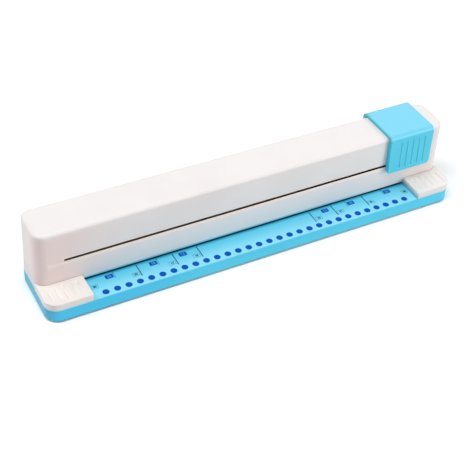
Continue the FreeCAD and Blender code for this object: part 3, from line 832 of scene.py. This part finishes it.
for side_name in ("left", "right"):
    node = side_name + "_hold_pad"
    bm = pad_body(node)
    bmesh.ops.remove_doubles(bm, verts=bm.verts, dist=0.0005)
    bmesh.ops.dissolve_limit(bm, angle_limit=math.radians(0.5), verts=bm.verts, edges=bm.edges)
    face_outward(bm)
    low, high = in_mm(node)
    ends = (low.y + pad_groove_margin, cover_low.y - pad_groove_margin)
    places = [(low.x + high.x) / 2 + step * pad_groove_pitch for step in (-2, -1, 0, 1, 2)]
    grooves = press_grooves(
        bm, lambda f: f.normal.z > 0.99 and same(f.calc_center_median().z, high.z), 1, ends, places,
        width=3.0, slope=1.1, depth=0.8)
    print(side_name, "pad:", grooves, "grooves, open edges:", open_edges(bm))
    make_piece(side_name + "_moulded_pad", bm, "body", pad_white, [node])

# %% [markdown]
# ## The printed ledge
#
# Thirty deep-blue dots on the ledge show where the holes will fall, and small marks with plain
# numbers show where the work's edge goes. The ink could be a mask in the base's material, but then
# its sharpness would hang on the shader's arithmetic. Very thin pieces, a few hundredths of a
# millimetre high, give crisp edges and catch the light as raised ink does.

# %% Inks
def printed_ink(name, colour, shade):
    """Screen-printed ink: slightly uneven in shade and in gloss."""
    material, wire, place = start_finish(name)
    grain = noise(wire, place, 900.0, 3.0, 0.6)
    tint = blend_colours(wire, grain.between(0.35, 0.8), linear(colour), linear(shade))
    end_finish(wire, tint, 0.50 + grain * 0.10, grain, 0.000008, IOR=1.15)
    return material


dot_ink = printed_ink("deep_blue_ink", (2, 82, 178), (4, 87, 186))
line_ink = printed_ink("navy_line_ink", (4, 44, 84), (8, 52, 96))
pale_ink = printed_ink("pale_ink", (96, 168, 222), (104, 176, 228))
print("inks:", dot_ink.name, line_ink.name, pale_ink.name)

# %% Dots
ink = 0.03
dot_count = 30
first_dot = -137.75
dot_pitch = -2 * first_dot / (dot_count - 1)
dot_radius = 2.75
dot_row = front_edge + 4.35


def lift_ink(bm, verts):
    """Raises a flat outline into a thin slab."""
    faces = list({f for v in verts for f in v.link_faces})
    grown = bmesh.ops.extrude_face_region(bm, geom=faces)["geom"]
    top = [v for v in grown if isinstance(v, bmesh.types.BMVert)]
    bmesh.ops.translate(bm, vec=(0, 0, ink), verts=top)
    face_outward(bm)


bm = bmesh.new()
for index in range(dot_count):
    place = Matrix.Translation((first_dot + index * dot_pitch, dot_row, deck))
    made = bmesh.ops.create_circle(bm, cap_ends=True, segments=32, radius=dot_radius, matrix=place)
    lift_ink(bm, made["verts"])
make_piece("ledge_dots", bm, "body", dot_ink)
print("dot pitch:", round(dot_pitch, 3), "mm")

# %% [markdown]
# The marks stand in pairs, the same distance left and right of the middle, because the work is
# centred on the ledge. Filled badges stand beside the cover, framed ones sit lower down, and three
# long lines on each side lead from the cover towards the dots. A column of short dashes stands
# beside the two outer badges of each side.

# %% Where the marks are
badge_marks = [("26", 129.1, 18.95), ("18", 92.0, 18.6), ("12", 66.3, 18.8)]
frame_marks = [("22", 109.2, 12.6), ("14", 78.2, 12.6), ("10", 56.9, 12.6)]
end_mark = ("30", 143.6, 12.6)
line_places = [105.2, 74.1, 52.6]


def both_sides(marks):
    """Each mark twice: its text and its place left and right of the middle."""
    return [(text, side * x, front_edge + y) for text, x, y in marks for side in (-1, 1)]


def slab(bm, x, y, size):
    """A thin rectangle of ink round a place. Returns its vertices."""
    half = Vector((size[0] / 2, size[1] / 2, 0))
    centre = Vector((x, y, deck))
    return block(bm, centre - half, centre + half + Vector((0, 0, ink)))


print("marks:", 2 * (len(badge_marks) + len(frame_marks) + 1), "lines:", 2 * len(line_places))

# %% Badges
badge_size = (6.6, 4.4)
badge_round = 0.8

bm = bmesh.new()
for _, x, y in both_sides(badge_marks):
    slab(bm, x, y, badge_size)
    upright = [e for e in bm.edges if abs(e.verts[0].co.z - e.verts[1].co.z) > ink / 2
               and abs(e.verts[0].co.x - x) < badge_size[0]]
    soften(bm, upright, badge_round, 4)
make_piece("ledge_badges", bm, "body", dot_ink)

# %% Lines and frames
line_front, line_rear = front_edge + 9.3, front_edge + 22.4
line_width = 0.7
frame_size = (5.9, 3.9)
end_frame_size = (5.4, 4.4)
frame_line = 0.3


def outline(bm, x, y, size):
    """A thin frame of ink: a slab whose top and bottom are inset, and their middle removed."""
    verts = slab(bm, x, y, size)
    flats = [f for f in {f for v in verts for f in v.link_faces} if abs(f.normal.z) > 0.9]
    bmesh.ops.inset_individual(bm, faces=flats, thickness=frame_line)
    rims = [e for f in flats for e in f.edges]
    bmesh.ops.delete(bm, geom=flats, context="FACES_ONLY")
    bmesh.ops.bridge_loops(bm, edges=rims)
    face_outward(bm)


bm = bmesh.new()
for x in line_places:
    for side in (-1, 1):
        slab(bm, side * x, (line_front + line_rear) / 2, (line_width, line_rear - line_front))
for marks, size in ((frame_marks, frame_size), ([end_mark], end_frame_size)):
    for _, x, y in both_sides(marks):
        outline(bm, x, y, size)
make_piece("ledge_lines", bm, "body", line_ink)

# %% Dashes
dash_size = (0.5, 0.6)
dash_gap = 0.8
dash_count = 8
first_dash = -2.9

bm = bmesh.new()
for _, x, y in both_sides(badge_marks[:2]):
    inward = x - math.copysign(badge_size[0] / 2 + dash_gap, x)
    for step in range(dash_count):
        slab(bm, inward, y + first_dash + step, dash_size)
make_piece("ledge_dashes", bm, "body", line_ink)

# %% [markdown]
# Numbers start as text, because Blender's built-in font already has good outlines. The text is
# turned into a mesh before it gets its place, so that the finished object sits at the origin like
# every other piece.

# %% A number as a mesh
def number(text, x, y, size, lift, gain):
    """A raised number on the deck, centred on a place, its strokes made bolder by gain."""
    curve = bpy.data.curves.new("number", "FONT")
    curve.body = text
    curve.size = size
    curve.align_x = "CENTER"
    curve.align_y = "CENTER"
    curve.extrude = ink / 2
    curve.offset = gain
    curve.resolution_u = 4
    maker = bpy.data.objects.new("number", curve)
    scene.collection.objects.link(maker)
    bm = final_shape(maker)
    bmesh.ops.remove_doubles(bm, verts=bm.verts, dist=0.0005)
    face_outward(bm)
    bmesh.ops.translate(bm, vec=(x, y, deck + lift + ink / 2), verts=bm.verts)
    return bm


def join(target, part):
    """Adds one bmesh to another."""
    carrier = bpy.data.meshes.new("carrier")
    part.to_mesh(carrier)
    part.free()
    target.from_mesh(carrier)
    bpy.data.meshes.remove(carrier)


# %% Numbers
badge_text, frame_text, end_text = 3.7, 2.7, 2.9
pale_gain, dark_gain = 0.04, 0.16

pale = bmesh.new()
dark = bmesh.new()
for text, x, y in both_sides(badge_marks):
    join(pale, number(text, x, y, badge_text, ink, pale_gain))
for marks, size in ((frame_marks, frame_text), ([end_mark], end_text)):
    for text, x, y in both_sides(marks):
        join(dark, number(text, x, y, size, 0.0, dark_gain))
make_piece("badge_numbers", pale, "body", pale_ink)
make_piece("ledge_numbers", dark, "body", line_ink)

# %% [markdown]
# ## Return springs
#
# Each pin has a compression spring round it, hidden in the steel guide. A helix is a circle of
# wire that turns round an axis and climbs as it goes, which is what the spin operator does when it
# is given a step along the axis.

# %% Springs
spring_low = 16.5
spring_high = 26.35
spring_wire = 0.8
spring_bore = 2.95
spring_radius = spring_bore + spring_wire / 2
spring_turns = 6
steps_per_turn = 16
steps = spring_turns * steps_per_turn
climb = (spring_high - spring_low - spring_wire) / steps

for index in range(1, dot_count + 1):
    pin = "punch_pin_%02d" % index
    pin_low, pin_high = in_mm(pin)
    x, y = (pin_low.x + pin_high.x) / 2, (pin_low.y + pin_high.y) / 2
    bm = bmesh.new()
    start = (Matrix.Translation((x + spring_radius, y, spring_low + spring_wire / 2))
             @ Matrix.Rotation(math.radians(90), 4, "X"))
    bmesh.ops.create_circle(bm, cap_ends=False, segments=6, radius=spring_wire / 2, matrix=start)
    bmesh.ops.spin(bm, geom=bm.edges[:] + bm.verts[:], cent=(x, y, 0), axis=(0, 0, 1),
                   dvec=(0, 0, climb), angle=math.radians(360 * spring_turns), steps=steps,
                   use_duplicate=False)
    bmesh.ops.holes_fill(bm, edges=[e for e in bm.edges if e.is_boundary])
    face_outward(bm)
    spring = make_piece("return_spring_%02d" % index, bm, "body",
                        spring_steel, ["return_springs"], smooth_degrees=80)
    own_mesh(spring)

# %% [markdown]
# ## Feet and screws
#
# The feet are moulded rubber discs with a rounded rim and a shallow hollow that grips the desk.
# The screws are pan-head, with a cross recess. Both are turned shapes: a cylinder, a bevelled rim
# and an inset. Their places and sizes are read from the loose parts of the CAD nodes, so they can
# never drift apart.

# %% Loose parts of a CAD node
def loose_parts(name):
    """The loose parts of a CAD node: one list of points in millimetres for each."""
    bm = bmesh.new()
    bm.from_mesh(frame["nodes"][name].data)
    bmesh.ops.remove_doubles(bm, verts=bm.verts, dist=0.000001)
    left = set(bm.verts)
    parts = []
    while left:
        seed = left.pop()
        group, queue = [seed], [seed]
        while queue:
            for edge in queue.pop().link_edges:
                for vert in edge.verts:
                    if vert in left:
                        left.discard(vert)
                        group.append(vert)
                        queue.append(vert)
        parts.append([vert.co * 1000 for vert in group])
    bm.free()
    return parts


def extent(points):
    """The lowest and highest corners of some points."""
    return [Vector([pick(p[axis] for p in points) for axis in range(3)]) for pick in (min, max)]


print("feet:", len(loose_parts("rubber_feet")))

# %% Feet
foot_round = 0.5
sole_rim = 1.2
hollow_slope = 0.4
hollow_depth = 0.25

bm = bmesh.new()
for points in loose_parts("rubber_feet"):
    low, high = extent(points)
    radius = (high.x - low.x) / 2
    middle = (low + high) / 2
    made = bmesh.ops.create_cone(bm, cap_ends=True, segments=40, radius1=radius, radius2=radius,
                                 depth=high.z - low.z, matrix=Matrix.Translation(middle))["verts"]
    sole = [f for f in bm.faces if f.normal.z < -0.9 and all(v in made for v in f.verts)]
    soften(bm, [e for f in sole for e in f.edges], foot_round, 4)
    sole = [f for f in bm.faces if f.normal.z < -0.99
            and (f.calc_center_median() - middle).length < high.z - low.z]
    bmesh.ops.inset_region(bm, faces=sole, thickness=sole_rim, depth=0.0)
    bmesh.ops.inset_region(bm, faces=sole, thickness=hollow_slope, depth=-hollow_depth)
make_piece("rubber_foot_set", bm, "body", rubber, ["rubber_feet"])

# %% Cross recess
def add_recess(bm, head_radius, head_height):
    """Presses a cross into the top face: the face is sliced both ways and its middle bars sink."""
    bar = head_radius * 0.14
    reach = head_radius * 0.55
    rim, slope, sink = 0.05, 0.06, head_height * 0.55
    for normal in ((1, 0, 0), (0, 1, 0)):
        for offset in (-reach, -bar, bar, reach):
            top = [f for f in bm.faces if f.normal.z > 0.99]
            slice_at(bm, top, [part * offset for part in normal], normal)
    cross = []
    for face in bm.faces:
        spot = face.calc_center_median()
        narrow, wide = sorted((abs(spot.x), abs(spot.y)))
        if face.normal.z > 0.99 and narrow < bar and wide < reach:
            cross.append(face)
    bmesh.ops.inset_region(bm, faces=cross, thickness=rim, depth=0.0)
    bmesh.ops.inset_region(bm, faces=cross, thickness=slope, depth=-sink)


# %% One screw
head_round = 0.45
head_margin = 0.05


def add_screw(bm, points):
    """A pan-head screw with a cross recess, in the place of one CAD screw."""
    low, high = extent(points)
    middle = (low + high) / 2
    radii = [((p.x - middle.x) ** 2 + (p.y - middle.y) ** 2) ** 0.5 for p in points]
    head_radius = max(radii)
    tops = [r for p, r in zip(points, radii) if p.z > high.z - 0.01]
    head_up = max(tops) > head_radius - head_margin
    head_zs = [p.z for p, r in zip(points, radii) if r > head_radius - head_margin]
    head_height = max(head_zs) - min(head_zs)
    shank_radius = max(r for r in radii if r < head_radius - 2 * head_margin)
    turn = Matrix.Identity(4) if head_up else Matrix.Rotation(math.pi, 4, "X")
    head_seat = min(head_zs) if head_up else max(head_zs)
    place = Matrix.Translation((middle.x, middle.y, head_seat)) @ turn
    length = (high.z - low.z) - head_height
    local = bmesh.new()
    bmesh.ops.create_cone(local, cap_ends=True, segments=28, radius1=head_radius,
                          radius2=head_radius, depth=head_height,
                          matrix=Matrix.Translation((0, 0, head_height / 2)))
    rim = [e for e in local.edges if min(v.co.z for v in e.verts) > head_height - 0.001]
    soften(local, rim, min(head_round, head_height / 2), 4)
    add_recess(local, head_radius, head_height)
    base = [f for f in local.faces if f.normal.z < -0.9]
    bmesh.ops.inset_region(local, faces=base, thickness=head_radius - shank_radius)
    shank = bmesh.ops.extrude_face_region(local, geom=base)["geom"]
    tip = [v for v in shank if isinstance(v, bmesh.types.BMVert)]
    bmesh.ops.delete(local, geom=base, context="FACES_ONLY")
    bmesh.ops.translate(local, vec=(0, 0, -length), verts=tip)
    bmesh.ops.transform(local, matrix=place, verts=local.verts)
    face_outward(local)
    join(bm, local)


# %% Screws
screw_count = 0
for name in ("bottom_screws", "housing_screws", "frame_screws", "rail_screws", "guide_screws",
             "die_screws", "stop_screws"):
    bm = bmesh.new()
    for points in loose_parts(name):
        add_screw(bm, points)
        screw_count += 1
    make_piece("cross_" + name, bm, "body", screw_steel, [name])
print("screws:", screw_count)

# %% [markdown]
# ## Studio
#
# The photograph was taken on a white sweep under large soft lamps. The floor is a white disc that
# keeps a soft shadow and fades out before its edge, so that no rim shows from any side. The
# background's white comes only from what the camera sees directly: the lamps stay at a level where
# a colour renders about as it is written.

# %% World
def looked_at(wire):
    """1 for the rays that show a thing itself: direct, mirrored and through glass."""
    rays = [wire.node("ShaderNodeLightPath", {}, {}, "Is %s Ray" % kind)
            for kind in ("Camera", "Glossy", "Transmission")]
    return wire.math("MINIMUM", rays[0] + rays[1] + rays[2], 1.0)


ambient = 0.06
world = bpy.data.worlds.new("studio_world")
scene.world = world
world.use_nodes = True
world.node_tree.nodes.clear()
sky = Wire(world.node_tree)
strength = ambient + looked_at(sky) * (1.0 - ambient)
backdrop = sky.node("ShaderNodeBackground", {},
                    {"Color": (1.0, 1.0, 1.0, 1.0), "Strength": strength}, "Background")
sky.node("ShaderNodeOutputWorld", {}, {"Surface": backdrop})
print("ambient light:", ambient)

# %% Floor
floor_radius = 0.9
fade_start, fade_end = 0.45, 0.85
floor_level = 0.80
seen_gain = 0.36

bm = bmesh.new()
bmesh.ops.create_circle(bm, cap_ends=True, segments=64, radius=floor_radius)
floor = shape_object(bm, "studio_floor")
material, wire, place = start_finish("white_floor")
clouds = noise(wire, place, 3.0, 2.0) * 0.01
level = floor_level + looked_at(wire) * seen_gain + clouds
white = wire.node("ShaderNodeCombineXYZ", {}, {"X": level, "Y": level, "Z": level}, "Vector")
sweep = wire.node("ShaderNodeBsdfDiffuse", {}, {"Color": white}, "BSDF")
away = wire.node("ShaderNodeVectorMath", {"operation": "LENGTH"}, {0: place}, "Value")
beyond = wire.node("ShaderNodeBsdfTransparent", {}, {}, "BSDF")
surface = wire.node("ShaderNodeMixShader", {},
                    {0: away.between(fade_start, fade_end), 1: sweep, 2: beyond}, "Shader")
wire.node("ShaderNodeOutputMaterial", {}, {"Surface": surface})
floor.data.materials.append(material)
print("floor:", 2 * floor_radius, "m across")

# %% Lamps
softboxes = [
    ("top_softbox", (0.0, -0.45, 1.64), 1.2, 11.2),
    ("upper_left_softbox", (-0.85, 0.0, 1.47), 1.0, 13.0),
    ("back_softbox", (0.98, 0.98, 0.98), 1.0, 4.5),
    ("front_right_softbox", (1.14, -1.14, 0.53), 0.8, 12.4),
    ("back_left_softbox", (-1.30, 0.95, 0.53), 0.8, 6.0),
]
for name, place, size, power in softboxes:
    data = bpy.data.lights.new(name, "AREA")
    data.shape = "SQUARE"
    data.size = size
    data.energy = power
    lamp = bpy.data.objects.new(name, data)
    scene.collection.objects.link(lamp)
    lamp.location = place
    lamp.rotation_euler = (-Vector(place)).to_track_quat("-Z", "Y").to_euler()
print("lamps:", len(softboxes))

# %% View settings
scene.view_settings.view_transform = "Standard"
